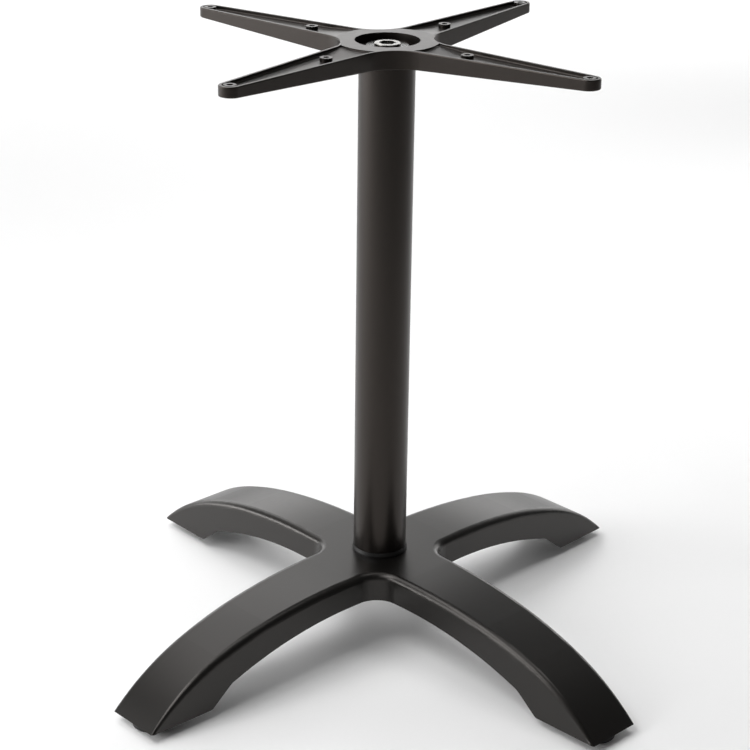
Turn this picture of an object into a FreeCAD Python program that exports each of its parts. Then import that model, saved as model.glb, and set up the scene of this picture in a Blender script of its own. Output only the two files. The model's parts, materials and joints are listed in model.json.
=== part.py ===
import FreeCAD, Part
import os
from math import atan2, cos, degrees, radians, sin, sqrt, tan
from FreeCAD import Vector

# Four star table base: a cast base with four arched legs, a round column and a
# cast four-arm top, clamped together by one tie rod. It stands on four
# levelling feet. Millimetres, +Z up, the floor at Z = 0, the column on the Z
# axis, the legs on the diagonals and the front on the -Y side.

# Main sizes
overall_height = 720.0
column_diameter = 63.0
column_wall = 3.0
leg_count = 4
first_leg_angle = 45.0
arm_count = 4
top_turn = 8.8

# Base casting
leg_reach = 376.0
leg_underside = 11.0
hub_top = 100.0
hub_depth = 33.5
leg_root_width = 94.0
toe_width = 70.4
side_draft = 1.5
crotch_radius = 29.0
hub_flat = 84.0
toe_length = 83.0
heel_height = 22.8
heel_slope = 38.5
heel_blend = 25.0
heel_round = 6.0
edge_round = 8.0
toe_edge_round = 3.0
base_wall = 5.0
toe_wall = 9.0
base_rib = 4.0
rib_recess = 6.0
cross_rib_count = 3

# The leg's upper line is three tangent arcs. These are the slopes where one arc
# passes into the next, and how far out along the leg that is.
crown_slopes = (9.8, 19.0)
crown_shares = (0.43, 0.67)

# Base hub, under the column
hub_boss_radius = 38.0
hub_boss_wall = 8.0
clamp_seat_thickness = 14.0
spigot_height = 10.0
spigot_wall = 5.0
spigot_clearance = 0.2
spigot_chamfer = 1.5

# Top casting
arm_reach = 259.0
arm_end_radius = 12.0
arm_taper = 3.7
arm_crotch_radius = 42.0
top_depth = 21.0
arm_end_depth = 11.4
top_hub_flat = 42.0
rim_width = 3.5
rim_round = 1.2
tray_depth = 5.5
tray_round = 1.5
tray_floor = 4.0
recess_radius = 36.2
recess_depth = 9.5
ring_width = 21.3
top_core_margin = 9.5
top_rib = 3.0
inner_hole_place = 106.5
table_hole_radius = 3.3
screw_boss_wall = 3.6

# Tie rod and what clamps it
rod_diameter = 12.0
rod_hole_clearance = 0.5
thread_clearance = 0.05
head_lip = 2.6
head_thickness = 2.6
head_chamfer = 0.6
sleeve_wall = 6.0
sleeve_length = 26.0
sleeve_clearance = 0.3
socket_across_flats = 17.0
socket_depth = 9.0
top_washer_margin = 9.4
top_washer_thickness = 4.0
washer_chamfer = 0.6
low_washer_radius = 18.0
low_washer_thickness = 3.0
lock_washer_radius = 10.5
lock_washer_thickness = 3.0
lock_washer_slit = 2.0
nut_across_flats = 19.0
nut_height = 10.0
nut_corner_angle = 30.0
rod_tail = 3.0
rod_chamfer = 1.2

# Ring at the column's foot
foot_ring_height = 6.5
foot_ring_straight = 2.5
foot_ring_proud = 1.4
foot_ring_lip = 0.5
foot_ring_clearance = 0.1

# Levelling feet
foot_setback = 26.0
pad_radius = 21.0
pad_height = 7.5
pad_bottom_chamfer = 1.8
pad_top_chamfer = 1.5
stud_diameter = 8.0
stud_clearance = 0.05
stud_tip_gap = 0.5
stud_tip_chamfer = 0.6
stud_collar_across_flats = 17.0
stud_floor = 2.0
stud_grip_clearance = 0.02
insert_wall = 2.0
insert_length = 16.0
insert_clearance = 0.02
insert_hole_spare = 1.0
toe_boss_wall = 7.0
toe_rib = 6.0

# How far a cutting body runs past what it cuts, when two places are one, and
# what share of its length an edge has to rise to count as upright
overshoot = 1.0
tolerance = 0.01
upright_share = 0.99

# Places and sizes that follow from those above
column_radius = column_diameter / 2
column_bore = column_radius - column_wall
spigot_radius = column_bore - spigot_clearance
top_underside = overall_height - top_depth
arch_top = hub_top - hub_depth
heel_reach = leg_reach - toe_length
foot_place = leg_reach - foot_setback
leg_angles = [first_leg_angle + i * 360.0 / leg_count for i in range(leg_count)]
arm_angles = [first_leg_angle + top_turn + i * 360.0 / arm_count for i in range(arm_count)]
arm_root = arm_end_radius / cos(radians(arm_taper)) + arm_reach * tan(radians(arm_taper))
ring_radius = recess_radius + ring_width
top_core_radius = column_radius + top_core_margin
screw_boss_radius = table_hole_radius + screw_boss_wall
rod_radius = rod_diameter / 2
rod_hole = rod_radius + rod_hole_clearance
sleeve_radius = rod_radius + sleeve_wall
head_radius = sleeve_radius + head_lip
top_washer_radius = head_radius + top_washer_margin
recess_floor = overall_height - recess_depth
head_underside = recess_floor + top_washer_thickness
socket_floor = head_underside + head_thickness - socket_depth
clamp_seat = hub_top - clamp_seat_thickness
low_washer_bottom = clamp_seat - low_washer_thickness
nut_top = low_washer_bottom - lock_washer_thickness
nut_bottom = nut_top - nut_height
stud_radius = stud_diameter / 2
insert_bore = stud_radius + stud_clearance
insert_radius = insert_bore + insert_wall
toe_boss_radius = insert_radius + toe_boss_wall


def upright(x, z):
    """Point of a profile drawn in the XZ plane."""
    return Vector(x, 0, z)


def line(a, b):
    return Part.LineSegment(a, b).toShape()


def arc(a, middle, b):
    return Part.Arc(a, middle, b).toShape()


def outline(points):
    """Straight edges through the points, in their order."""
    return [line(a, b) for a, b in zip(points, points[1:])]


def profile_slab(edges, half_width):
    """The closed profile in the XZ plane as a slab, centred on that plane."""
    face = Part.Face(Part.Wire(Part.__sortEdges__(edges)))
    face.translate(Vector(0, -half_width, 0))
    return face.extrude(Vector(0, 2 * half_width, 0))


def cylinder(radius, bottom, top, x=0.0):
    return Part.makeCylinder(radius, top - bottom, Vector(x, 0, bottom))


def tube(outer, inner, bottom, top, x=0.0):
    return cylinder(outer, bottom, top, x).cut(cylinder(inner, bottom, top, x))


def turned(points):
    """Solid of revolution about the Z axis of a closed outline of (radius, height)."""
    corners = [upright(r, z) for r, z in points]
    wire = Part.makePolygon(corners + corners[:1])
    return Part.Face(wire).revolve(Vector(0, 0, 0), Vector(0, 0, 1), 360)


def hexagon_bar(across_flats, bottom, top, x=0.0):
    corner = across_flats / sqrt(3)
    turns = [radians(60 * i) for i in range(7)]
    points = [Vector(x + corner * cos(turn), corner * sin(turn), bottom) for turn in turns]
    return Part.Face(Part.makePolygon(points)).extrude(Vector(0, 0, top - bottom))


def rotated(shape, angle):
    copy = shape.copy()
    copy.rotate(Vector(0, 0, 0), Vector(0, 0, 1), angle)
    return copy


def around(shape, angles):
    """One copy of the shape at each angle about the Z axis."""
    return [rotated(shape, angle) for angle in angles]


def single_solid(shape):
    """The shape's one solid, with split faces joined."""
    return shape.removeSplitter().Solids[0]


def slope_direction(slope):
    """Unit vector square to a line that falls outwards with a slope in degrees."""
    return upright(sin(radians(slope)), cos(radians(slope)))


def crown_arcs(inset):
    """The leg's upper line as three tangent arcs, lowered by the inset.

    Each is (centre, radius, first slope, last slope). With no inset the last
    one ends at the toe.
    """
    arcs = []
    point, slope = upright(hub_flat, hub_top), 0.0
    for next_slope, share in zip(crown_slopes, crown_shares):
        run = hub_flat + share * (leg_reach - hub_flat) - point.x
        radius = run / (sin(radians(next_slope)) - sin(radians(slope)))
        centre = point - slope_direction(slope) * radius
        arcs.append((centre, radius - inset, slope, next_slope))
        point, slope = centre + slope_direction(next_slope) * radius, next_slope
    to_toe = upright(leg_reach, leg_underside) - point
    radius = -to_toe.Length ** 2 / (2 * to_toe.dot(slope_direction(slope)))
    centre = point - slope_direction(slope) * radius
    toe = upright(leg_reach, leg_underside) - centre
    arcs.append((centre, radius - inset, slope, degrees(atan2(toe.x, toe.z))))
    return arcs


def crown_height(place, inset):
    """Height of the upper line, lowered by the inset, at a distance from the column."""
    if place <= hub_flat:
        return hub_top - inset
    for centre, radius, start, end in crown_arcs(inset):
        if place <= (centre + slope_direction(end) * radius).x:
            break
    return centre.z + sqrt(radius ** 2 - (place - centre.x) ** 2)


def crown_edges(inset, last_place):
    """Edges of the upper line from the column's axis out to last_place."""
    edges = [line(upright(0, hub_top - inset), upright(hub_flat, hub_top - inset))]
    arcs = crown_arcs(inset)
    for centre, radius, start, end in arcs:
        if centre == arcs[-1][0]:
            end = degrees(atan2(last_place - centre.x, crown_height(last_place, inset) - centre.z))
        points = [centre + slope_direction(slope) * radius for slope in (start, (start + end) / 2, end)]
        edges.append(arc(*points))
    return edges


def crown_slab(inset, end, bottom):
    """Slab below the upper line, lowered by the inset, out to an end and down to a level."""
    edges = crown_edges(inset, end)
    edges += outline([upright(end, crown_height(end, inset)), upright(end, bottom), upright(0, bottom),
                      upright(0, hub_top - inset)])
    return profile_slab(edges, leg_root_width)


def arch_end(lift):
    """Where the arch under the leg passes into the slope of the heel."""
    return upright(heel_reach - heel_height / tan(radians(heel_slope)), leg_underside + heel_height + lift)


def arch_edges(lift):
    """The leg's under line, raised by the lift, from the hub to the heel's slope."""
    start, end = upright(hub_flat, arch_top + lift), arch_end(lift)
    run, fall = end.x - start.x, start.z - end.z
    radius = (run ** 2 + fall ** 2) / (2 * fall)
    half_turn = degrees(atan2(run, radius - fall)) / 2
    middle = start + (slope_direction(half_turn) - upright(0, 1)) * radius
    return [line(upright(0, arch_top + lift), start), arc(start, middle, end)]


def leg_slab():
    """The leg's side view: flat over the hub, arched, with a heel step and a toe."""
    toe = upright(leg_reach, leg_underside)
    heel = upright(heel_reach, leg_underside)
    edges = crown_edges(0.0, leg_reach) + arch_edges(0.0)
    edges += outline([toe, heel, arch_end(0.0)])
    edges.append(line(upright(0, arch_top), upright(0, hub_top)))
    slab = profile_slab(edges, leg_root_width)
    slab = slab.makeFillet(heel_blend, cross_edges(slab, arch_end(0.0)))
    return slab.makeFillet(heel_round, cross_edges(slab, heel))


def cross_edges(slab, place):
    """The slab's edges along Y through a point of its profile."""
    def runs_there(edge):
        return all(abs(v.X - place.x) < tolerance and abs(v.Z - place.z) < tolerance for v in edge.Vertexes)
    return [edge for edge in slab.Edges if runs_there(edge)]


def half_width(place, height, inset):
    """Half the leg's width at a distance from the column and a height."""
    along = place / leg_reach
    at_foot = leg_root_width / 2 * (1 - along) + toe_width / 2 * along
    return at_foot - (height - leg_underside) * tan(radians(side_draft)) - inset


def leg_wedge(inset):
    """Space between the leg's two drafted sides, moved in by the inset."""
    far = leg_reach + edge_round
    rings = []
    for z in (0.0, hub_top + edge_round):
        near_half, far_half = half_width(0, z, inset), half_width(far, z, inset)
        corners = ((0, -near_half), (far, -far_half), (far, far_half), (0, near_half), (0, -near_half))
        rings.append([Vector(x, y, z) for x, y in corners])
    low, high = rings
    walls = [[low[i], low[i + 1], high[i + 1], high[i], low[i]] for i in range(len(low) - 1)]
    faces = [Part.Face(Part.makePolygon(points)) for points in [low, high] + walls]
    return Part.makeSolid(Part.makeShell(faces))


def joined_legs(leg, radius):
    """All the legs as one body, its inner corners rounded to the radius."""
    legs = around(leg, leg_angles)
    body = single_solid(legs[0].multiFuse(legs[1:]))
    return body.makeFillet(radius, [edge for edge in body.Edges if is_inner_corner(edge)])


def is_inner_corner(edge):
    """True for the upright edges where two neighbouring legs meet."""
    if not isinstance(edge.Curve, Part.Line) or edge.Length < hub_depth / 2:
        return False
    middle = edge.CenterOfMass
    near_column = sqrt(middle.x ** 2 + middle.y ** 2) < leg_root_width
    return near_column and is_upright(edge)


def is_upright(edge):
    """True for edges that rise about straight up."""
    return abs(edge.Vertexes[-1].Z - edge.Vertexes[0].Z) > upright_share * edge.Length


def rounded_top(body):
    """The body with its upper edges rounded, less and less towards the toes."""
    document = FreeCAD.newDocument("rounding")
    source = document.addObject("Part::Feature", "source")
    source.Shape = body
    rounding = document.addObject("Part::Fillet", "rounding")
    rounding.Base = source
    rounds = []
    for number, edge in enumerate(body.Edges, 1):
        if is_upper_edge(edge):
            first, last = [round_at(end) for end in edge_ends(edge)]
            rounds.append((number, first, last))
    rounding.Edges = rounds
    document.recompute()
    rounded = rounding.Shape.copy()
    FreeCAD.closeDocument("rounding")
    return rounded.Solids[0]


def edge_ends(edge):
    return [edge.valueAt(t) for t in (edge.FirstParameter, edge.LastParameter)]


def round_at(point):
    """Radius of the upper edge's round at a point: full as far as the last arc."""
    full_until = hub_flat + crown_shares[-1] * (leg_reach - hub_flat)
    reach = sqrt(point.x ** 2 + point.y ** 2)
    share = min(1.0, max(0.0, (reach - full_until) / (leg_reach - full_until)))
    return edge_round + (toe_edge_round - edge_round) * share


def is_upper_edge(edge):
    """True for the edges between the crown and the sides of the legs."""
    ends = edge_ends(edge)
    places = [leg_place(end) for end in ends]
    heights = [crown_height(place, 0.0) for place, side in places]
    on_crown = all(abs(end.z - height) < tolerance for end, height in zip(ends, heights))
    beside = all(side > edge_round for place, side in places)
    across_toe = all(abs(place - leg_reach) < tolerance for place, side in places)
    return on_crown and beside and not across_toe


def leg_place(point):
    """A point's distance along its nearest leg, and its distance to the leg's middle."""
    def along_and_beside(angle):
        a = radians(angle)
        return point.x * cos(a) + point.y * sin(a), abs(point.y * cos(a) - point.x * sin(a))
    return max(along_and_beside(angle) for angle in leg_angles)


def leg_cavity():
    """Hollow of one leg, open underneath."""
    return crown_slab(base_wall, leg_reach - toe_wall, 0.0).common(leg_wedge(base_wall))


def rib_slab():
    """Side view of the ribs: from inside the crown down to short of the open side."""
    sunk = base_wall / 2
    end = foot_place
    foot = leg_underside + rib_recess
    edges = crown_edges(sunk, end) + arch_edges(rib_recess)
    edges += outline([upright(end, crown_height(end, sunk)), upright(end, foot), upright(heel_reach, foot),
                      arch_end(rib_recess)])
    edges.append(line(upright(0, arch_top + rib_recess), upright(0, hub_top - sunk)))
    return profile_slab(edges, leg_root_width)


def leg_ribs():
    """One rib along the leg's middle, and ribs across it at even steps."""
    slab = rib_slab()
    start = hub_boss_radius - hub_boss_wall / 2
    along = Part.makeBox(foot_place - start, base_rib, hub_top, Vector(start, -base_rib / 2, 0))
    ribs = [slab.common(along)]
    between_sides = slab.common(leg_wedge(base_wall / 2))
    step = (foot_place - hub_boss_radius) / (cross_rib_count + 1)
    for i in range(cross_rib_count):
        place = hub_boss_radius + (i + 1) * step
        across = Part.makeBox(base_rib, 2 * leg_root_width, hub_top)
        across.translate(Vector(place - base_rib / 2, -leg_root_width, 0))
        ribs.append(between_sides.common(across))
    return ribs


def toe_boss():
    """Boss that holds a levelling foot, tied to both sides of the toe."""
    boss = cylinder(toe_boss_radius, leg_underside, hub_top, foot_place)
    tie = Part.makeBox(toe_rib, 2 * toe_width, hub_top)
    tie.translate(Vector(foot_place - toe_rib / 2, -toe_width, leg_underside))
    tie = tie.common(leg_wedge(base_wall / 2))
    return boss.fuse(tie).common(crown_slab(base_wall / 2, leg_reach - toe_wall / 2, leg_underside))


def insert_hole():
    top = leg_underside + insert_length + insert_hole_spare
    return cylinder(insert_radius + insert_clearance, leg_underside - overshoot, top, foot_place)


def spigot(face, direction):
    """Ring that locates the column, standing on a face, up or down."""
    end = face + direction * spigot_height
    sunk = face - direction * base_wall / 2
    inner = spigot_radius - spigot_wall
    return turned([(inner, sunk), (spigot_radius, sunk), (spigot_radius, end - direction * spigot_chamfer),
                   (spigot_radius - spigot_chamfer, end), (inner, end)])


def base_casting():
    outer = rounded_top(joined_legs(leg_slab().common(leg_wedge(0.0)), crotch_radius))
    body = outer.cut(joined_legs(leg_cavity(), crotch_radius + base_wall))
    hub_boss = cylinder(hub_boss_radius, arch_top + rib_recess, hub_top - base_wall / 2)
    nut_room = cylinder(hub_boss_radius - hub_boss_wall, arch_top, clamp_seat)
    added = [hub_boss, spigot(hub_top, 1)]
    for piece in leg_ribs() + [toe_boss()]:
        added += around(piece, leg_angles)
    body = body.multiFuse(added)
    holes = [nut_room, cylinder(rod_hole, clamp_seat - overshoot, hub_top + overshoot)]
    holes += around(insert_hole(), leg_angles)
    return single_solid(body.cut(holes))


def column_tube():
    return tube(column_radius, column_bore, hub_top, top_underside)


def column_foot_ring():
    inner = column_radius + foot_ring_clearance
    outer = column_radius + foot_ring_proud
    top = hub_top + foot_ring_height
    return turned([(inner, hub_top), (outer, hub_top), (outer, hub_top + foot_ring_straight),
                   (column_radius + foot_ring_lip, top), (inner, top)])


def arms_outline(inset, z):
    """Wire of the tapering arms with round ends, moved in by the inset."""
    lean = radians(arm_taper)
    half_gap = 180.0 / arm_count
    end_radius = arm_end_radius - inset
    crotch = arm_crotch_radius + inset
    crotch_out = (arm_root * cos(lean) + arm_crotch_radius) / sin(radians(half_gap) + lean)
    side_end = (arm_reach + end_radius * sin(lean), end_radius * cos(lean))
    side_start = (crotch_out * cos(radians(half_gap)) - crotch * sin(lean),
                  crotch_out * sin(radians(half_gap)) - crotch * cos(lean))

    def at(angle, along, beside=0.0):
        a = radians(angle)
        return Vector(along * cos(a) - beside * sin(a), along * sin(a) + beside * cos(a), z)

    edges = []
    for angle in arm_angles:
        for hand in (1, -1):
            start, end = [at(angle, along, hand * beside) for along, beside in (side_start, side_end)]
            edges.append(line(start, end))
        edges.append(arc(at(angle, side_end[0], -side_end[1]), at(angle, arm_reach + end_radius),
                         at(angle, *side_end)))
        edges.append(arc(at(angle, *side_start), at(angle + half_gap, crotch_out - crotch),
                         at(angle + 2 * half_gap, side_start[0], -side_start[1])))
    return Part.Wire(Part.__sortEdges__(edges))


def arms_prism(inset, bottom, top):
    return Part.Face(arms_outline(inset, bottom)).extrude(Vector(0, 0, top - bottom))


def arm_underside():
    """What the rising underside of one arm takes away."""
    end = arm_reach + arm_end_radius
    rise = top_depth - arm_end_depth
    low = top_underside - overshoot
    points = [upright(top_hub_flat, top_underside), upright(end, top_underside + rise),
              upright(end + overshoot, low), upright(top_hub_flat, low)]
    return profile_slab(outline(points + points[:1]), top_hub_flat)


def arms_block():
    """The arms as a full body with rising undersides, its edges all round above and below rounded."""
    block = arms_prism(0.0, top_underside, overall_height)
    block = single_solid(block.cut(around(arm_underside(), arm_angles)))
    return block.makeFillet(rim_round, [edge for edge in block.Edges if not is_upright(edge)])


def arm_trays():
    """The sunk trays of the arms, their floors rounded into the walls."""
    floor = overall_height - tray_depth
    trays = arms_prism(rim_width, floor, overall_height + overshoot)
    trays = trays.cut(cylinder(ring_radius, floor - overshoot, overall_height + 2 * overshoot))
    round_floor = [edge for edge in trays.Edges if abs(edge.CenterOfMass.z - floor) < tolerance]
    return trays.makeFillet(tray_round, round_floor)


def top_casting():
    body = arms_block()
    tray = arm_trays()
    below = arms_prism(rim_width, top_underside - overshoot, overall_height - tray_depth - tray_floor)
    below = below.cut(cylinder(top_core_radius, top_underside - overshoot, overall_height))
    holes = [cylinder(recess_radius, recess_floor, overall_height + overshoot),
             cylinder(sleeve_radius + sleeve_clearance, top_underside - spigot_height, overall_height)]
    ends = (top_underside - overshoot, overall_height + overshoot)
    for place in (inner_hole_place, arm_reach):
        bosses = around(cylinder(screw_boss_radius, *ends, place), arm_angles)
        tray = tray.cut(bosses)
        below = below.cut(bosses)
        holes += around(cylinder(table_hole_radius, *ends, place), arm_angles)
    rib = Part.makeBox(arm_reach, top_rib, top_depth, Vector(0, -top_rib / 2, top_underside - overshoot))
    below = below.cut(around(rib, arm_angles))
    body = body.cut([tray, below])
    return single_solid(body.fuse(spigot(top_underside, -1)).cut(holes))


def tie_rod():
    top = socket_floor - thread_clearance
    bottom = nut_bottom - rod_tail
    small = rod_radius - rod_chamfer
    return turned([(0, bottom), (small, bottom), (rod_radius, bottom + rod_chamfer),
                   (rod_radius, top - rod_chamfer), (small, top), (0, top)])


def tie_nut():
    """Round-headed sleeve nut with a hexagon socket, let into the top's recess."""
    top = head_underside + head_thickness
    bottom = head_underside - sleeve_length
    body = turned([(0, bottom), (sleeve_radius, bottom), (sleeve_radius, head_underside),
                   (head_radius, head_underside), (head_radius, top - head_chamfer),
                   (head_radius - head_chamfer, top), (0, top)])
    socket = hexagon_bar(socket_across_flats, socket_floor, top)
    return single_solid(body.cut([socket, cylinder(rod_radius + thread_clearance, bottom, socket_floor)]))


def washer(outer, inner, bottom, thickness):
    """Flat round washer with both outer edges broken."""
    top = bottom + thickness
    edge = outer - washer_chamfer
    return turned([(inner, bottom), (edge, bottom), (outer, bottom + washer_chamfer),
                   (outer, top - washer_chamfer), (edge, top), (inner, top)])


def lock_washer():
    """Split spring washer, pressed flat."""
    ring = tube(lock_washer_radius, rod_hole, nut_top, low_washer_bottom)
    slit = Part.makeBox(lock_washer_radius, lock_washer_slit, lock_washer_thickness)
    slit.translate(Vector(0, -lock_washer_slit / 2, nut_top))
    return single_solid(ring.cut(slit))


def hexagon_nut():
    """Hexagon nut, its corners chamfered at both ends."""
    bar = hexagon_bar(nut_across_flats, nut_bottom, nut_top)
    corner = nut_across_flats / sqrt(3)
    flat = nut_across_flats / 2
    drop = (corner - flat) * tan(radians(nut_corner_angle))
    chamfered = turned([(0, nut_bottom), (flat, nut_bottom), (corner, nut_bottom + drop),
                        (corner, nut_top - drop), (flat, nut_top), (0, nut_top)])
    bore = cylinder(rod_radius + thread_clearance, nut_bottom, nut_top)
    return single_solid(bar.common(chamfered).cut(bore))


def foot_insert():
    """Threaded bush pressed into the toe boss."""
    return tube(insert_radius, insert_bore, leg_underside, leg_underside + insert_length, foot_place)


def foot_stud():
    """Threaded stud with a hexagon collar that rests on the pad."""
    top = leg_underside + insert_length - stud_tip_gap
    tip = stud_radius - stud_tip_chamfer
    shaft = turned([(0, stud_floor), (stud_radius, stud_floor), (stud_radius, top - stud_tip_chamfer),
                    (tip, top), (0, top)])
    shaft.translate(Vector(foot_place, 0, 0))
    collar = hexagon_bar(stud_collar_across_flats, pad_height, leg_underside, foot_place)
    return single_solid(shaft.fuse(collar))


def foot_pad():
    """Round plastic glide, moulded on the stud's lower end."""
    inner = stud_radius + stud_grip_clearance
    low, high = pad_radius - pad_bottom_chamfer, pad_radius - pad_top_chamfer
    pad = turned([(0, 0), (low, 0), (pad_radius, pad_bottom_chamfer),
                  (pad_radius, pad_height - pad_top_chamfer), (high, pad_height),
                  (inner, pad_height), (inner, stud_floor), (0, stud_floor)])
    pad.translate(Vector(foot_place, 0, 0))
    return single_solid(pad)


def nodes():
    """Every piece by its name."""
    sleeve_hole = sleeve_radius + sleeve_clearance
    pieces = {
        "base_casting": base_casting(),
        "column_tube": column_tube(),
        "column_foot_ring": column_foot_ring(),
        "top_casting": top_casting(),
        "tie_rod": tie_rod(),
        "tie_nut": tie_nut(),
        "top_clamp_washer": washer(top_washer_radius, sleeve_hole, recess_floor, top_washer_thickness),
        "lower_washer": washer(low_washer_radius, rod_hole, low_washer_bottom, low_washer_thickness),
        "lock_washer": lock_washer(),
        "lower_nut": hexagon_nut(),
    }
    for number, angle in enumerate(leg_angles, 1):
        pieces["foot_insert_%d" % number] = rotated(foot_insert(), angle)
        pieces["foot_stud_%d" % number] = rotated(foot_stud(), angle)
        pieces["foot_pad_%d" % number] = rotated(foot_pad(), angle)
    return pieces


os.makedirs("parts", exist_ok=True)
for name, shape in nodes().items():
    shape.exportStep(os.path.join("parts", name + ".step"))
    print(name, "valid", shape.isValid(), "solids", len(shape.Solids), "cm3", round(shape.Volume / 1000, 2))
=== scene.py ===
"""Four star table base: the finish of every piece, the floor, the soft light and the camera."""
import json
from math import cos, pi, radians, sin

import bmesh
import bpy
from bpy.props import FloatProperty, FloatVectorProperty, IntProperty, PointerProperty
from mathutils import Matrix, Vector

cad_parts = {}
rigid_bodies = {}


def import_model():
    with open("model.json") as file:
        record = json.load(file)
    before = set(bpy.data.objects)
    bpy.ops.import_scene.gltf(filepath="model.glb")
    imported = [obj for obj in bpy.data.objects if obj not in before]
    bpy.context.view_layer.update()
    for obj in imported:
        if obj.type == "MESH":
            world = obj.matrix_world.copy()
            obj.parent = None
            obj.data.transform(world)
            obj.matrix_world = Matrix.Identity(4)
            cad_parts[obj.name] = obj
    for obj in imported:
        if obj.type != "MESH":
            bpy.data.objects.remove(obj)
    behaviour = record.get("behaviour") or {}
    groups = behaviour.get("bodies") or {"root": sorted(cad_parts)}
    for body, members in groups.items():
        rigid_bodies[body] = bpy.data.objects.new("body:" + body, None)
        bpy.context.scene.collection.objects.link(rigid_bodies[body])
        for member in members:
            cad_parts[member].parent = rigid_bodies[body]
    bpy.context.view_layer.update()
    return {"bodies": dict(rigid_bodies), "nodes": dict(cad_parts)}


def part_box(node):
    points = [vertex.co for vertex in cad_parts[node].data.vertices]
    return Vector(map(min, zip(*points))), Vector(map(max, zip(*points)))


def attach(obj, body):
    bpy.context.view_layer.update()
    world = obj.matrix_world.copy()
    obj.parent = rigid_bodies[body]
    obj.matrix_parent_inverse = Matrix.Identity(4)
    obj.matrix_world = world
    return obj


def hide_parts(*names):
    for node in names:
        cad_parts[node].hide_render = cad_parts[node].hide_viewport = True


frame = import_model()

bl_info = {
    "name": "Four Star Table Base",
    "version": (1, 0, 0),
    "blender": (4, 5, 0),
    "location": "View3D > Sidebar > Table Base",
    "description": "Castings, column, tie bolt and levelling feet of a four star table base",
    "category": "Object",
}

# Corners nearer to each other than WELD are one. SLACK is the room for rounding in a test.
WELD = 1e-6
SLACK = 1e-5

# Over 50, large faces count for more in the normals of their corners.
NORMAL_WEIGHT = 80

# The bodies that the pieces ride on, and the arms of the cast top.
FIXED = "base"
FEET = sorted(name for name in frame["bodies"] if name.startswith("foot_"))
ARMS = 4

# Steps of a thread in one turn, and corners of its ridge.
THREAD_STEPS = 24
THREAD_CORNERS = 6

# Refractive index of the powder coat.
COAT_IOR = 1.5

# How much of the coat's drift comes from its thickness, the rest from the casting's skin.
DRIFT_SHARE = 0.6

# How bright clouded steel is beside clean steel, and the second tones of other finishes.
CLOUDED_SHARE = 0.6
WORN_PLASTIC = (0.0040, 0.0036, 0.0033, 1.0)
CLOUDED_ZINC = (0.28, 0.28, 0.26, 1.0)
FLOOR_SPECKS = (0.93, 0.93, 0.93, 1.0)

# Size of the lumps, lines and grains of each finish, in metres.
COAT_DRIFT = 0.070
CAST_SKIN = 0.0065
CAST_PEEL = 0.0011
TUBE_DRIFT = 0.090
TUBE_LINES = 0.0040
TUBE_PEEL = 0.0012
PLASTIC_DRIFT = 0.012
PLASTIC_GRAIN = 0.00045
TOOL_RINGS = 0.00035
STEEL_CLOUDS = 0.008
ZINC_CLOUDS = 0.004
ZINC_PITS = 0.0006
FLOOR_GRAIN = 0.004

# Scale of the tube's pattern across and along it, which makes its lumps long lines.
ALONG_TUBE = (1.0, 1.0, 0.02)

# Height of the relief that each pattern gives, in metres.
SKIN_RELIEF = 3.5e-5
CAST_PEEL_RELIEF = 4.0e-6
LINE_RELIEF = 8.0e-6
TUBE_PEEL_RELIEF = 3.0e-6
GRAIN_RELIEF = 6.0e-6
RING_RELIEF = 8.0e-7
CLOUD_RELIEF = 4.0e-6
PIT_RELIEF = 5.0e-6

# Middle roughness of the finishes other than the coat.
PLASTIC_ROUGHNESS = 0.41
STEEL_ROUGHNESS = 0.25
ZINC_ROUGHNESS = 0.33
FLOOR_ROUGHNESS = 0.75

# How far each pattern swings the roughness, from its smoothest to its dullest.
SKIN_SWING = 0.05
CAST_PEEL_SWING = 0.03
LINE_SWING = 0.04
TUBE_PEEL_SWING = 0.02
GRAIN_SWING = 0.10
CLOUD_SWING = 0.10
RING_SWING = 0.03
ZINC_SWING = 0.14


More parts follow.
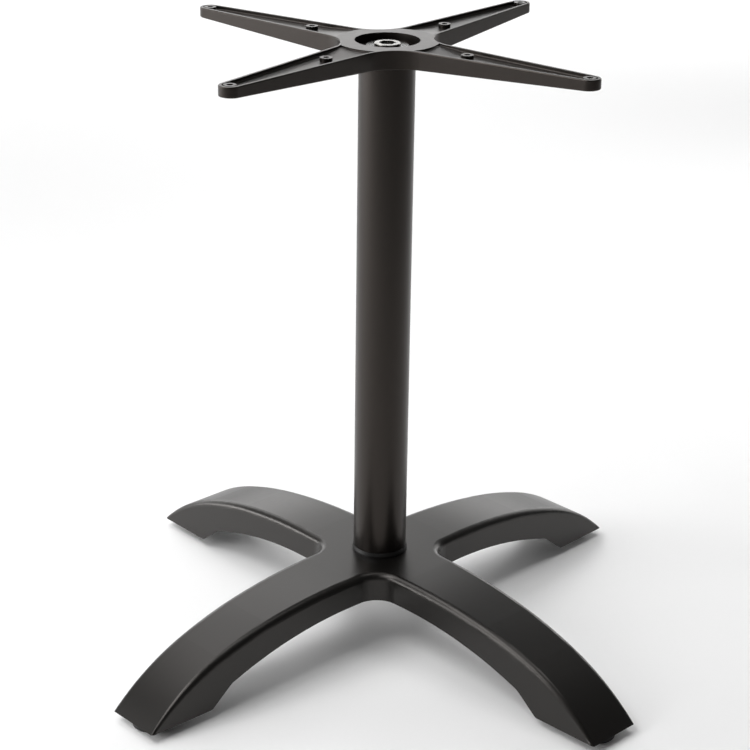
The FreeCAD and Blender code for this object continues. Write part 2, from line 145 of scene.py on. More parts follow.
class StarBaseSizes(bpy.types.PropertyGroup):
    """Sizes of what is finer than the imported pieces."""

    smooth_angle: FloatProperty(
        name="Smooth angle",
        description="Faces that meet at less than this angle are shaded as one",
        subtype="ANGLE",
        default=radians(24),
    )
    column_sides: IntProperty(
        name="Column sides",
        description="Facets round the column and the tie rod",
        default=160,
        min=12,
    )
    column_wall: FloatProperty(
        name="Column wall",
        description="Wall of the round column",
        unit="LENGTH",
        default=0.003,
    )
    rod_pitch: FloatProperty(
        name="Rod pitch",
        description="Pitch of the thread at both ends of the tie rod",
        unit="LENGTH",
        default=0.00175,
    )
    rod_thread: FloatProperty(
        name="Rod thread",
        description="Length of the thread at each end of the tie rod",
        unit="LENGTH",
        default=0.032,
    )
    rod_chamfer: FloatProperty(
        name="Rod chamfer",
        description="Chamfer at the ends of the tie rod",
        unit="LENGTH",
        default=0.0012,
    )
    stud_pitch: FloatProperty(
        name="Stud pitch",
        description="Pitch of the thread on the levelling studs",
        unit="LENGTH",
        default=0.00125,
    )
    stud_radius: FloatProperty(
        name="Stud radius",
        description="Outer radius of the thread on the levelling studs",
        unit="LENGTH",
        default=0.004,
    )
    ridge_share: FloatProperty(
        name="Ridge share",
        description="Height of a thread's ridge as a share of its pitch",
        subtype="FACTOR",
        default=0.45,
    )
    arm_turn: FloatProperty(
        name="Arm turn",
        description="Direction of the cast top's first arm",
        subtype="ANGLE",
        default=radians(53.8),
    )
    tray_packed: FloatProperty(
        name="Tray depth, packed",
        description="Depth of the trays in the packed top",
        unit="LENGTH",
        default=0.0055,
    )
    tray_rim: FloatProperty(
        name="Tray rim",
        description="Depth of the rounded rim of a tray, which stays as packed",
        unit="LENGTH",
        default=0.0013,
    )
    tray_root: FloatProperty(
        name="Tray depth at the ring",
        description="Depth of a tray where it meets the hub ring",
        unit="LENGTH",
        default=0.0020,
    )
    tray_depth: FloatProperty(
        name="Tray depth",
        description="Depth of a tray along the arm",
        unit="LENGTH",
        default=0.0042,
    )
    tray_start: FloatProperty(
        name="Tray start",
        description="Distance of the hub ring's edge from the column's line",
        unit="LENGTH",
        default=0.0575,
    )
    tray_full: FloatProperty(
        name="Tray full",
        description="Distance at which a tray has its full depth",
        unit="LENGTH",
        default=0.092,
    )


class StarBaseColours(bpy.types.PropertyGroup):
    """Colours and gloss of the finishes."""

    coat: FloatVectorProperty(
        name="Powder coat",
        description="Colour of the coat on the castings",
        subtype="COLOR",
        size=4,
        default=(0.0015, 0.0013, 0.0011, 1.0),
    )
    coat_thin: FloatVectorProperty(
        name="Powder coat, thin",
        description="Colour of the coat where it lies thinner",
        subtype="COLOR",
        size=4,
        default=(0.0030, 0.0026, 0.0022, 1.0),
    )
    coat_gloss: FloatVectorProperty(
        name="Coat gloss",
        description="Tint of the gloss on the cast base",
        subtype="COLOR",
        size=4,
        default=(1.0, 0.95, 0.91, 1.0),
    )
    warm_gloss: FloatVectorProperty(
        name="Warm gloss",
        description="Tint of the gloss on the column and the cast top",
        subtype="COLOR",
        size=4,
        default=(1.0, 0.87, 0.79, 1.0),
    )
    coat_roughness: FloatProperty(
        name="Coat roughness",
        description="Roughness of the powder coat",
        subtype="FACTOR",
        default=0.33,
    )
    plastic: FloatVectorProperty(
        name="Plastic",
        description="Colour of the column's foot ring and of the glides",
        subtype="COLOR",
        size=4,
        default=(0.0020, 0.0018, 0.0016, 1.0),
    )
    steel: FloatVectorProperty(
        name="Plated steel",
        description="Colour of the nut, washers, studs and bushes",
        subtype="COLOR",
        size=4,
        default=(0.32, 0.31, 0.29, 1.0),
    )
    # Painted shade: the washer in the hub's recess gets this dark steel colour for the shade it
    # lies in.
    painted_shade_steel: FloatVectorProperty(
        name="Dark steel",
        description="Colour of the darkened washer under the sleeve nut",
        subtype="COLOR",
        size=4,
        default=(0.050, 0.046, 0.042, 1.0),
    )
    floor: FloatVectorProperty(
        name="Floor",
        description="Colour of the floor",
        subtype="COLOR",
        size=4,
        default=(0.91, 0.91, 0.91, 1.0),
    )


class StarBaseCamera(bpy.types.PropertyGroup):
    """Where the camera stands and how it is turned."""

    azimuth: FloatProperty(
        name="Azimuth",
        description="Turn of the camera's stand round the column",
        subtype="ANGLE",
        default=0.0154,
    )
    distance: FloatProperty(
        name="Distance",
        description="Level distance of the camera from the column",
        unit="LENGTH",
        default=2.1569,
    )
    height: FloatProperty(
        name="Height",
        description="Height of the camera above the floor",
        unit="LENGTH",
        default=1.2163,
    )
    yaw: FloatProperty(
        name="Yaw",
        description="Turn of the camera away from the column, to the right",
        subtype="ANGLE",
        default=-0.0039,
    )
    pitch: FloatProperty(
        name="Pitch",
        description="Tilt of the camera below the level",
        subtype="ANGLE",
        default=0.3922,
    )
    roll: FloatProperty(
        name="Roll",
        description="Turn of the camera about its own line of sight",
        subtype="ANGLE",
        default=0.0143,
    )
    lens: FloatProperty(
        name="Lens",
        description="Focal length in millimetres",
        default=96.08,
    )


class Wire:
    """A socket of a node tree. Sums and products of wires and numbers add Math nodes."""

    def __init__(self, finish, socket):
        self.finish = finish
        self.socket = socket

    def math(self, operation, *values):
        node = self.finish.add("ShaderNodeMath", {"operation": operation}, dict(enumerate(values)))
        return self.finish.out(node)

    def __add__(self, other):
        return self.math("ADD", self, other)

    __radd__ = __add__

    def __mul__(self, other):
        return self.math("MULTIPLY", self, other)

    __rmul__ = __mul__

    def power(self, exponent):
        return self.math("POWER", self, exponent)

    def wave(self):
        return self.math("SINE", self)

    def clamped(self):
        return self.math("MINIMUM", self.math("MAXIMUM", self, 0.0), 1.0)


class Finish:
    """A material and its node tree."""

    def __init__(self, name):
        self.material = bpy.data.materials.new(name)
        self.material.use_nodes = True
        self.tree = self.material.node_tree
        self.tree.nodes.clear()

    def add(self, kind, settings=None, sockets=None):
        """A node of this kind: its settings first, then the values or links of its sockets."""
        node = self.tree.nodes.new(kind)
        for name, value in (settings or {}).items():
            setattr(node, name, value)
        for key, value in (sockets or {}).items():
            if isinstance(value, Wire):
                self.tree.links.new(value.socket, node.inputs[key])
            else:
                node.inputs[key].default_value = value
        return node

    def out(self, node, key=0):
        """One of the node's outputs, the first unless another is named."""
        return Wire(self, node.outputs[key])

    def place(self):
        """The point on the object, in metres."""
        return self.out(self.add("ShaderNodeTexCoord"), "Object")

    def stretched(self, place, scale):
        """The point with each of its axes scaled."""
        node = self.add("ShaderNodeVectorMath", {"operation": "MULTIPLY"}, {0: place, 1: scale})
        return self.out(node)

    def noise(self, place, size, detail=2.0, roughness=0.5):
        """Soft noise from 0 to 1 whose lumps are about this size in metres."""
        sockets = {"Vector": place, "Scale": 1.0 / size, "Detail": detail, "Roughness": roughness}
        return self.out(self.add("ShaderNodeTexNoise", {}, sockets))

    def mixed(self, share, first, second):
        """A colour between two, by a share from 0 to 1."""
        settings = {"data_type": "RGBA"}
        return self.out(self.add("ShaderNodeMix", settings, {0: share, 6: first, 7: second}), 2)

    def bump(self, height):
        """The normal of a surface with this relief, a height in metres."""
        sockets = {"Height": height, "Distance": 1.0, "Strength": 1.0}
        return self.out(self.add("ShaderNodeBump", {}, sockets))

    def surface(self, sockets):
        """Ends the tree in a surface shader with these sockets, and gives the material."""
        shader = self.add("ShaderNodeBsdfPrincipled", {}, sockets)
        self.add("ShaderNodeOutputMaterial", {}, {"Surface": self.out(shader)})
        return self.material


def radius_from_column(finish, place):
    """Distance of the point from the column's middle line."""
    parts = finish.add("ShaderNodeSeparateXYZ", {}, {0: place})
    across = finish.out(parts, "X")
    along = finish.out(parts, "Y")
    return (across * across + along * along).power(0.5)


def swung(middle, *swings):
    """A value about its middle. Each swing is a noise from 0 to 1 and how far it swings."""
    lowest = middle - sum(width for noise, width in swings) / 2.0
    return sum((noise * width for noise, width in swings), lowest)


def coated_casting(name, colours, gloss):
    """Satin powder coat over a casting: faint lumps of its skin and the coat's orange peel."""
    finish = Finish(name)
    place = finish.place()
    drift = finish.noise(place, COAT_DRIFT)
    skin = finish.noise(place, CAST_SKIN, detail=3.0, roughness=0.55)
    peel = finish.noise(place, CAST_PEEL, detail=1.0)
    thin = (drift * DRIFT_SHARE + skin * (1.0 - DRIFT_SHARE)).clamped()
    return finish.surface({
        "Base Color": finish.mixed(thin, tuple(colours.coat), tuple(colours.coat_thin)),
        "Roughness": swung(colours.coat_roughness, (skin, SKIN_SWING), (peel, CAST_PEEL_SWING)),
        "Normal": finish.bump(skin * SKIN_RELIEF + peel * CAST_PEEL_RELIEF),
        "IOR": COAT_IOR,
        "Specular Tint": tuple(gloss),
    })


def satin_cast(colours):
    """The coat on the cast base."""
    return coated_casting("satin_cast", colours, colours.coat_gloss)


def satin_arms(colours):
    """The coat on the cast top, warmer in its gloss."""
    return coated_casting("satin_arms", colours, colours.warm_gloss)


def satin_tube(colours):
    """The same coat on drawn tube: smoother, with the tube's faint lengthways lines under it."""
    finish = Finish("satin_tube")
    place = finish.place()
    drift = finish.noise(place, TUBE_DRIFT)
    lines = finish.noise(finish.stretched(place, ALONG_TUBE), TUBE_LINES)
    peel = finish.noise(place, TUBE_PEEL, detail=1.0)
    return finish.surface({
        "Base Color": finish.mixed(drift, tuple(colours.coat), tuple(colours.coat_thin)),
        "Roughness": swung(colours.coat_roughness, (lines, LINE_SWING), (peel, TUBE_PEEL_SWING)),
        "Normal": finish.bump(lines * LINE_RELIEF + peel * TUBE_PEEL_RELIEF),
        "IOR": COAT_IOR,
        "Specular Tint": tuple(colours.warm_gloss),
    })


def moulded_plastic(colours):
    """Dark moulded plastic with a fine spark-eroded grain."""
    finish = Finish("moulded_plastic")
    place = finish.place()
    drift = finish.noise(place, PLASTIC_DRIFT)
    grain = finish.noise(place, PLASTIC_GRAIN)
    return finish.surface({
        "Base Color": finish.mixed(drift, tuple(colours.plastic), WORN_PLASTIC),
        "Roughness": swung(PLASTIC_ROUGHNESS, (grain, GRAIN_SWING)),
        "Normal": finish.bump(grain * GRAIN_RELIEF),
    })


def turned_metal(name, clean):
    """Plated steel turned about the column's line: soft clouds and the tool's fine rings."""
    finish = Finish(name)
    place = finish.place()
    rings = (radius_from_column(finish, place) * (2.0 * pi / TOOL_RINGS)).wave()
    clouds = finish.noise(place, STEEL_CLOUDS, detail=3.0)
    clouded = (*(channel * CLOUDED_SHARE for channel in clean[:3]), 1.0)
    return finish.surface({
        "Base Color": finish.mixed(clouds, tuple(clean), clouded),
        "Metallic": 1.0,
        "Roughness": swung(STEEL_ROUGHNESS, (clouds, CLOUD_SWING)) + rings * RING_SWING,
        "Normal": finish.bump(rings * RING_RELIEF + clouds * CLOUD_RELIEF),
    })


def turned_steel(colours):
    """Bright turned steel."""
    return turned_metal("turned_steel", colours.steel)


def painted_shade_washer(colours):
    """The same turned steel, darkened as painted shade for the washer in the hub's recess."""
    return turned_metal("painted_shade_washer", colours.painted_shade_steel)


def plated_steel(colours):
    """Zinc plate on small fasteners: cloudy and a little dull."""
    finish = Finish("plated_steel")
    place = finish.place()
    clouds = finish.noise(place, ZINC_CLOUDS, detail=4.0, roughness=0.6)
    pits = finish.noise(place, ZINC_PITS)
    return finish.surface({
        "Base Color": finish.mixed(clouds, tuple(colours.steel), CLOUDED_ZINC),
        "Metallic": 1.0,
        "Roughness": swung(ZINC_ROUGHNESS, (clouds, ZINC_SWING)),
        "Normal": finish.bump(pits * PIT_RELIEF),
    })


def floor_paint(colours):
    """Pale matt floor."""
    finish = Finish("floor_paint")
    grain = finish.noise(finish.place(), FLOOR_GRAIN)
    return finish.surface({
        "Base Color": finish.mixed(grain, tuple(colours.floor), FLOOR_SPECKS),
        "Roughness": FLOOR_ROUGHNESS,
    })


FINISHES = {
    "satin_cast": satin_cast,
    "satin_arms": satin_arms,
    "satin_tube": satin_tube,
    "moulded_plastic": moulded_plastic,
    "turned_steel": turned_steel,
    "painted_shade_washer": painted_shade_washer,
    "plated_steel": plated_steel,
    "floor_paint": floor_paint,
}


def finish_named(name):
    """The material of this finish, made when it is first asked for."""
    return bpy.data.materials.get(name) or FINISHES[name](bpy.context.scene.star_base_colours)


def new_object(name, mesh):
    """An object at the origin with this mesh."""
    piece = bpy.data.objects.new(name, mesh)
    bpy.context.scene.collection.objects.link(piece)
    return piece


def settle(piece):
    """Turns what the modifiers give into the piece's own plain mesh."""
    bpy.context.view_layer.update()
    evaluated = piece.evaluated_get(bpy.context.evaluated_depsgraph_get())
    mesh = bpy.data.meshes.new_from_object(evaluated)
    mesh.name = piece.name
    piece.modifiers.clear()
    piece.data = mesh


def smoothed(piece, angle):
    """Works out a piece's normals anew: rounds smooth, edges sharp and large faces flat."""
    mesh = piece.data
    if mesh.has_custom_normals:
        mesh.attributes.remove(mesh.attributes["custom_normal"])
    mesh.shade_smooth()
    mesh.set_sharp_from_angle(angle=angle)
    weighted = piece.modifiers.new("weighted", "WEIGHTED_NORMAL")
    weighted.keep_sharp = True
    weighted.weight = NORMAL_WEIGHT
    settle(piece)
    return piece


def welded_copy(node, name):
    """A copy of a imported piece: its loose triangles welded into one skin with their normals."""
    packed = frame["nodes"][node].data
    work = bmesh.new()
    work.from_mesh(packed)
    kept = work.loops.layers.float_vector.new("kept_normal")
    corners = [corner for face in work.faces for corner in face.loops]
    for corner, normal in zip(corners, packed.corner_normals):
        corner[kept] = normal.vector
    bmesh.ops.remove_doubles(work, verts=work.verts, dist=WELD)
    mesh = bpy.data.meshes.new(name)
    work.to_mesh(mesh)
    work.free()
    normals = [tuple(corner.vector) for corner in mesh.attributes["kept_normal"].data]
    mesh.attributes.remove(mesh.attributes["kept_normal"])
    mesh.shade_smooth()
    mesh.normals_split_custom_set(normals)
    return new_object(name, mesh)


def dressed(piece, body, finish):
    """Gives a piece its finish and its body."""
    piece.data.materials.clear()
    piece.data.materials.append(finish_named(finish))
    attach(piece, body)
    return piece


def dressed_copy(node, name, body, finish, slot):
    """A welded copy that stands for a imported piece."""
    piece = dressed(welded_copy(node, name), body, finish)
    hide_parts(node)
    return piece


def cut_across(work, faces, along, reach):
    """Cuts these faces with an upright plane, square to a direction and this far out on it."""
    edges = dict.fromkeys(edge for face in faces for edge in face.edges)
    corners = dict.fromkeys(corner for face in faces for corner in face.verts)
    parts = [*faces, *edges, *corners]
    bmesh.ops.bisect_plane(work, geom=parts, dist=WELD, plane_co=along * reach, plane_no=along)


def raise_trays(piece, sizes):
    """Lifts the floors of the cast top's trays, most of all where they meet the hub ring."""
    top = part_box("top_casting")[1].z
    low = top - sizes.tray_packed - SLACK
    high = top - sizes.tray_rim
    clear_of_hub = sizes.tray_start / 2.0
    work = bmesh.new()
    work.from_mesh(piece.data)
    for arm in range(ARMS):
        angle = sizes.arm_turn + 2.0 * pi * arm / ARMS
        along = Vector((cos(angle), sin(angle), 0.0))
        for reach in (sizes.tray_start, sizes.tray_full):
            faces = [
                face for face in work.faces
                if any(low < corner.co.z < high for corner in face.verts)
                and face.calc_center_median().dot(along) > clear_of_hub
            ]
            cut_across(work, faces, along, reach)
        for corner in work.verts:
            reach = corner.co.dot(along)
            if low < corner.co.z < high and reach > clear_of_hub:
                share = (reach - sizes.tray_start) / (sizes.tray_full - sizes.tray_start)
                share = min(max(share, 0.0), 1.0)
                depth = sizes.tray_root + (sizes.tray_depth - sizes.tray_root) * share
                corner.co.z = top - (top - corner.co.z) * depth / sizes.tray_packed
    work.to_mesh(piece.data)
    work.free()


def turned_mesh(name, outline, sides):
    """A closed outline of (radius, height) points, turned about the column's line."""
    work = bmesh.new()
    rings = []
    for step in range(sides):
        angle = 2.0 * pi * step / sides
        rings.append([work.verts.new((r * cos(angle), r * sin(angle), z)) for r, z in outline])
    for ring, after in zip(rings, rings[1:] + rings[:1]):
        for point in range(len(outline)):
            following = (point + 1) % len(outline)
            work.faces.new((ring[point], after[point], after[following], ring[following]))
    bmesh.ops.remove_doubles(work, verts=work.verts, dist=WELD)
    bmesh.ops.recalc_face_normals(work, faces=work.faces)
    mesh = bpy.data.meshes.new(name)
    work.to_mesh(mesh)
    work.free()
    return mesh


def thread_tree():
    """A node group that winds a rounded ridge round an upright core of given radius and length."""
    tree = bpy.data.node_groups.new("thread_ridge", "GeometryNodeTree")
    inputs = (
        ("Core radius", "NodeSocketFloat"),
        ("Ridge", "NodeSocketFloat"),
        ("Turns", "NodeSocketFloat"),
        ("Length", "NodeSocketFloat"),
        ("Place", "NodeSocketVector"),
        ("Finish", "NodeSocketMaterial"),
    )
    for name, kind in inputs:
        tree.interface.new_socket(name, in_out="INPUT", socket_type=kind)
    tree.interface.new_socket("Geometry", in_out="OUTPUT", socket_type="NodeSocketGeometry")
    given = tree.nodes.new("NodeGroupInput")
    result = tree.nodes.new("NodeGroupOutput")
    steps = {
        "helix": "GeometryNodeCurveSpiral",
        "section": "GeometryNodeCurvePrimitiveCircle",
        "ridge": "GeometryNodeCurveToMesh",
        "placed": "GeometryNodeTransform",
        "smooth": "GeometryNodeSetShadeSmooth",
        "real": "GeometryNodeRealizeInstances",
        "coated": "GeometryNodeSetMaterial",
    }
    nodes = {step: tree.nodes.new(kind) for step, kind in steps.items()}
    nodes["helix"].inputs["Resolution"].default_value = THREAD_STEPS
    nodes["section"].inputs["Resolution"].default_value = THREAD_CORNERS
    nodes["ridge"].inputs["Fill Caps"].default_value = True
    links = (
        (given.outputs["Core radius"], nodes["helix"].inputs["Start Radius"]),
        (given.outputs["Core radius"], nodes["helix"].inputs["End Radius"]),
        (given.outputs["Turns"], nodes["helix"].inputs["Rotations"]),
        (given.outputs["Length"], nodes["helix"].inputs["Height"]),
        (given.outputs["Ridge"], nodes["section"].inputs["Radius"]),
        (nodes["helix"].outputs[0], nodes["ridge"].inputs["Curve"]),
        (nodes["section"].outputs[0], nodes["ridge"].inputs["Profile Curve"]),
        (nodes["ridge"].outputs[0], nodes["placed"].inputs["Geometry"]),
        (given.outputs["Place"], nodes["placed"].inputs["Translation"]),
        (nodes["placed"].outputs[0], nodes["smooth"].inputs[0]),
        (nodes["smooth"].outputs[0], nodes["real"].inputs[0]),
        (nodes["real"].outputs[0], nodes["coated"].inputs["Geometry"]),
        (given.outputs["Finish"], nodes["coated"].inputs["Material"]),
        (nodes["coated"].outputs[0], result.inputs[0]),
    )
    for source, target in links:
        tree.links.new(source, target)
    return tree


def thread(name, radius, pitch, low, high, centre):
    """A thread of this outer radius between two heights, as a plain mesh."""
    tree = bpy.data.node_groups.get("thread_ridge") or thread_tree()
    ridge = pitch * bpy.context.scene.star_base_sizes.ridge_share
    length = high - low - 2.0 * ridge
    piece = new_object(name, bpy.data.meshes.new(name))
    wound = piece.modifiers.new("thread", "NODES")
    wound.node_group = tree
    values = {
        "Core radius": radius - ridge,
        "Ridge": ridge,
        "Turns": length / pitch,
        "Length": length,
        "Place": (centre[0], centre[1], low + ridge),
        "Finish": finish_named("plated_steel"),
    }
    for item in tree.interface.items_tree:
        if item.in_out == "INPUT":
            wound[item.identifier] = values[item.name]
    settle(piece)
    return piece


def middle(node):
    """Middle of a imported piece's box."""
    low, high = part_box(node)
    return (low + high) / 2.0


class STARBASE_OT_castings(bpy.types.Operator):
    """The cast base with its four arched legs and the cast top with its four arms"""

    bl_idname = "star_base.castings"
    bl_label = "Cast base and top"

    def execute(self, context):
        sizes = context.scene.star_base_sizes
        dressed_copy("base_casting", "cast_base", FIXED, "satin_cast", "cast_coat")
        top = welded_copy("top_casting", "cast_top")
        raise_trays(top, sizes)
        smoothed(top, sizes.smooth_angle)
        dressed(top, FIXED, "satin_arms")
        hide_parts("top_casting")
        return {"FINISHED"}


class STARBASE_OT_column(bpy.types.Operator):
    """The round column and the tapered ring at its foot"""

    bl_idname = "star_base.column"
    bl_label = "Column and foot ring"

    def execute(self, context):
        sizes = context.scene.star_base_sizes
        low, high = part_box("column_tube")
        outer = (high.x - low.x) / 2.0
        inner = outer - sizes.column_wall
        outline = [(inner, low.z), (outer, low.z), (outer, high.z), (inner, high.z)]
        column = new_object("column", turned_mesh("column", outline, sizes.column_sides))
        smoothed(column, sizes.smooth_angle)
        dressed(column, FIXED, "satin_tube")
        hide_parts("column_tube")
        dressed_copy("column_foot_ring", "foot_ring", FIXED, "moulded_plastic", "ring_plastic")
        return {"FINISHED"}


class STARBASE_OT_tie_bolt(bpy.types.Operator):
    """The tie rod, its sleeve nut and its washers"""

    bl_idname = "star_base.tie_bolt"
    bl_label = "Tie bolt"

    def execute(self, context):
        sizes = context.scene.star_base_sizes
        low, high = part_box("tie_rod")
        outer = (high.x - low.x) / 2.0
        core = outer - sizes.rod_pitch * sizes.ridge_share
        chamfer = sizes.rod_chamfer
        low_end = low.z + sizes.rod_thread
        high_end = high.z - sizes.rod_thread
        outline = [
            (0.0, low.z),
            (core - chamfer, low.z),
            (core, low.z + chamfer),
            (core, low_end),
            (outer, low_end + outer - core),
            (outer, high_end - outer + core),
            (core, high_end),
            (core, high.z - chamfer),
            (core - chamfer, high.z),
            (0.0, high.z),
        ]
        rod = new_object("rod", turned_mesh("rod", outline, sizes.column_sides // 2))
        smoothed(rod, sizes.smooth_angle)
        dressed(rod, FIXED, "plated_steel")
        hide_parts("tie_rod")
        ends = (("rod_thread_low", low.z, low_end), ("rod_thread_high", high_end, high.z))
        for name, start, stop in ends:
            ridge = thread(name, outer, sizes.rod_pitch, start, stop, (0.0, 0.0))
            dressed(ridge, FIXED, "plated_steel")
        pieces = (
            ("tie_nut", "sleeve_nut", "turned_steel"),
            ("top_clamp_washer", "clamp_washer", "painted_shade_washer"),
            # The clamp washer's dark steel is painted shade for the recess it lies in.
            ("lower_washer", "hub_washer", "turned_steel"),
            ("lock_washer", "spring_washer", "plated_steel"),
            ("lower_nut", "hexagon_nut", "plated_steel"),
        )
        for node, name, finish in pieces:
            dressed_copy(node, name, FIXED, finish, "bright_steel")
        return {"FINISHED"}


class STARBASE_OT_feet(bpy.types.Operator):
    """The four levelling feet: bush, threaded stud and glide"""

    bl_idname = "star_base.feet"
    bl_label = "Levelling feet"

    def execute(self, context):
        sizes = context.scene.star_base_sizes
        for body in FEET:
            number = body.removeprefix("foot_")
            bush = (f"foot_insert_{number}", f"bush_{number}")
            glide = (f"foot_pad_{number}", f"glide_{number}")
            dressed_copy(*bush, FIXED, "plated_steel", "bright_steel")
            dressed_copy(*glide, body, "moulded_plastic", "pad_plastic")
            self.stud(f"foot_stud_{number}", number, body, sizes)
        return {"FINISHED"}

    def stud(self, node, number, body, sizes):
        """A stud whose shank is thinned to the thread's core, with the thread wound on it."""
        centre = middle(node)
        core = sizes.stud_radius - sizes.stud_pitch * sizes.ridge_share
        piece = welded_copy(node, f"stud_{number}")
        shank_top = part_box(node)[1].z
        shank_low = shank_top
        for vertex in piece.data.vertices:
            out = Vector((vertex.co.x - centre.x, vertex.co.y - centre.y, 0.0))
            if core < out.length < sizes.stud_radius + SLACK:
                vertex.co -= out * (1.0 - core / out.length)
                shank_low = min(shank_low, vertex.co.z)
        smoothed(piece, sizes.smooth_angle)
        dressed(piece, body, "plated_steel")
        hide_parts(node)
        name = f"stud_thread_{number}"
        ends = (shank_low, shank_top)
        ridge = thread(name, sizes.stud_radius, sizes.stud_pitch, *ends, centre)
        dressed(ridge, body, "plated_steel")


# Half the width of the floor and how far the camera sees, in metres.
FLOOR_REACH = 12.0
VIEW_DEPTH = 60.0

# The even light from all round.
AIR_COLOUR = (1.0, 1.0, 1.0, 1.0)
AIR_BRIGHTNESS = 0.1

# Watts that a square metre of lamp takes for a brightness of 1.
WATTS_PER_AREA = 4.0

# Soft boxes: degrees round the object from the camera's side, degrees up, distance, width and
# height in metres, and brightness. They face AIM.
AIM = Vector((0.0, 0.0, 0.25))
SOFT_BOXES = {
    "back_wall": (185.0, 12.0, 6.0, 5.0, 1.6, 2.1),
    "back_right_low": (145.0, 9.0, 6.0, 4.0, 1.3, 2.45),
    "back_left_low": (225.0, 9.0, 6.0, 4.0, 1.3, 1.95),
    "back_left_mid": (215.0, 22.0, 6.0, 3.0, 1.6, 1.1),
    "back_right_mid": (150.0, 24.0, 6.0, 3.0, 1.4, 1.3),
    "back_high": (195.0, 36.0, 6.0, 2.8, 1.4, 2.35),
    "left_low": (265.0, 8.0, 6.0, 3.6, 1.4, 4.25),
    "left_strip": (270.0, 6.0, 6.0, 4.8, 1.05, 4.4),
    "front_left": (300.0, 24.0, 3.0, 1.2, 1.1, 5.1),
    "high_left": (300.0, 55.0, 3.0, 2.0, 1.2, 4.1),
    "high_back_left": (240.0, 55.0, 3.0, 2.0, 1.2, 2.0),
}

# Panels over the floor: metres across, back and up, width and depth, and brightness.
FLOOR_LIGHTS = {
    "floor_near": (0.0, 0.3, 2.6, 1.4, 0.8, 0.34),
    "floor_right": (1.0, 0.4, 2.6, 0.8, 1.2, 0.50),
    "floor_far": (0.0, 3.6, 3.0, 3.4, 2.2, 0.22),
    "floor_right_far": (1.0, 1.5, 1.2, 1.2, 1.3, 0.22),
    "floor_back": (0.0, 1.7, 1.2, 0.9, 1.4, 0.12),
}
FLOOR_SPREAD = radians(60.0)


def area_lamp(name, width, height, brightness):
    """A rectangular lamp of this brightness per area, which the camera doesn't see."""
    light = bpy.data.lights.new(name, "AREA")
    light.shape = "RECTANGLE"
    light.size = width
    light.size_y = height
    light.energy = brightness * WATTS_PER_AREA * width * height
    lamp = bpy.data.objects.new(name, light)
    bpy.context.scene.collection.objects.link(lamp)
    lamp.visible_camera = False
    return lamp


def soft_box(name, turn, lift, distance, width, height, brightness):
    """A soft box that faces the object."""
    lamp = area_lamp(name, width, height, brightness)
    direction = Vector((
        sin(radians(turn)) * cos(radians(lift)),
        -cos(radians(turn)) * cos(radians(lift)),
        sin(radians(lift)),
    ))
    lamp.location = AIM + direction * distance
    lamp.rotation_euler = direction.to_track_quat("Z", "Y").to_euler()
    return lamp


def floor_light(name, across, back, up, width, depth, brightness):
    """A panel over the floor whose light falls straight down in a narrow spread."""
    lamp = area_lamp(name, width, depth, brightness)
    lamp.data.spread = FLOOR_SPREAD
    lamp.location = (across, back, up)
    return lamp


def studio_air():
    """Even dim light from all round."""
    world = bpy.data.worlds.new("studio_air")
    world.use_nodes = True
    background = world.node_tree.nodes["Background"]
    background.inputs["Color"].default_value = AIR_COLOUR
    background.inputs["Strength"].default_value = AIR_BRIGHTNESS
    bpy.context.scene.world = world


def floor_mesh(half):
    """A level square round the column's foot, this far to each side."""
    mesh = bpy.data.meshes.new("floor")
    corners = [(-half, -half, 0.0), (half, -half, 0.0), (half, half, 0.0), (-half, half, 0.0)]
    mesh.from_pydata(corners, [], [(0, 1, 2, 3)])
    mesh.materials.append(finish_named("floor_paint"))
    return mesh


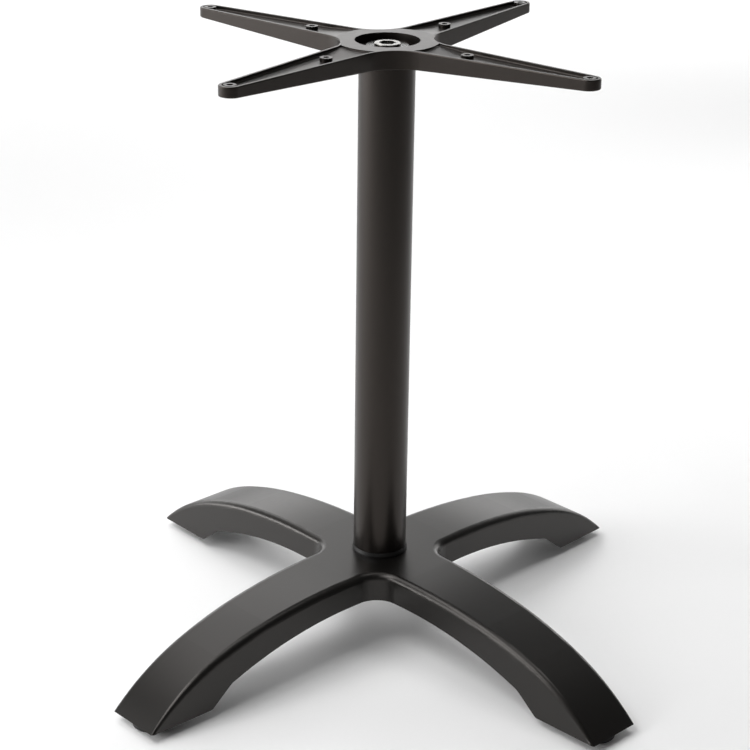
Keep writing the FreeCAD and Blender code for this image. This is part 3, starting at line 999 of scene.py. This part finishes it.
class STARBASE_OT_stage(bpy.types.Operator):
    """The pale floor, the soft boxes and the camera"""

    bl_idname = "star_base.stage"
    bl_label = "Floor, light and camera"

    def execute(self, context):
        scene = context.scene
        new_object("floor", floor_mesh(FLOOR_REACH))
        for name, values in SOFT_BOXES.items():
            soft_box(name, *values)
        for name, values in FLOOR_LIGHTS.items():
            floor_light(name, *values)
        studio_air()
        self.camera(scene)
        scene.view_settings.view_transform = "Standard"
        return {"FINISHED"}

    def camera(self, scene):
        """The camera, set by where it stands, its yaw, pitch and roll."""
        look = scene.star_base_camera
        lens = bpy.data.cameras.new("camera")
        lens.lens = look.lens
        lens.clip_end = VIEW_DEPTH
        camera = bpy.data.objects.new("camera", lens)
        scene.collection.objects.link(camera)
        place = Matrix.Rotation(look.azimuth, 4, "Z") @ Vector((0.0, -look.distance, look.height))
        turn = Matrix.Rotation(look.azimuth - look.yaw, 4, "Z")
        tilt = Matrix.Rotation(pi / 2.0 - look.pitch, 4, "X")
        roll = Matrix.Rotation(look.roll, 4, "Z")
        camera.matrix_world = Matrix.Translation(place) @ turn @ tilt @ roll
        scene.camera = camera


OPERATORS = (
    STARBASE_OT_castings,
    STARBASE_OT_column,
    STARBASE_OT_tie_bolt,
    STARBASE_OT_feet,
    STARBASE_OT_stage,
)


class STARBASE_PT_pieces(bpy.types.Panel):
    """Lists the pieces and their sizes and colours"""

    bl_idname = "STARBASE_PT_pieces"
    bl_label = "Four star table base"
    bl_space_type = "VIEW_3D"
    bl_region_type = "UI"
    bl_category = "Table Base"

    def draw(self, context):
        for operator in OPERATORS:
            self.layout.operator(operator.bl_idname)
        scene = context.scene
        for group in (scene.star_base_sizes, scene.star_base_colours, scene.star_base_camera):
            box = self.layout.box()
            for name in group.bl_rna.properties.keys():
                if name not in {"rna_type", "name"}:
                    box.prop(group, name)


SETTINGS = {
    "star_base_sizes": StarBaseSizes,
    "star_base_colours": StarBaseColours,
    "star_base_camera": StarBaseCamera,
}


def register():
    for kind in (*SETTINGS.values(), *OPERATORS, STARBASE_PT_pieces):
        bpy.utils.register_class(kind)
    for name, kind in SETTINGS.items():
        setattr(bpy.types.Scene, name, PointerProperty(type=kind))


def unregister():
    for name in SETTINGS:
        delattr(bpy.types.Scene, name)
    for kind in reversed((*SETTINGS.values(), *OPERATORS, STARBASE_PT_pieces)):
        bpy.utils.unregister_class(kind)


def main():
    register()
    bpy.ops.star_base.castings()
    bpy.ops.star_base.column()
    bpy.ops.star_base.tie_bolt()
    bpy.ops.star_base.feet()
    bpy.ops.star_base.stage()


if __name__ == "__main__":
    main()
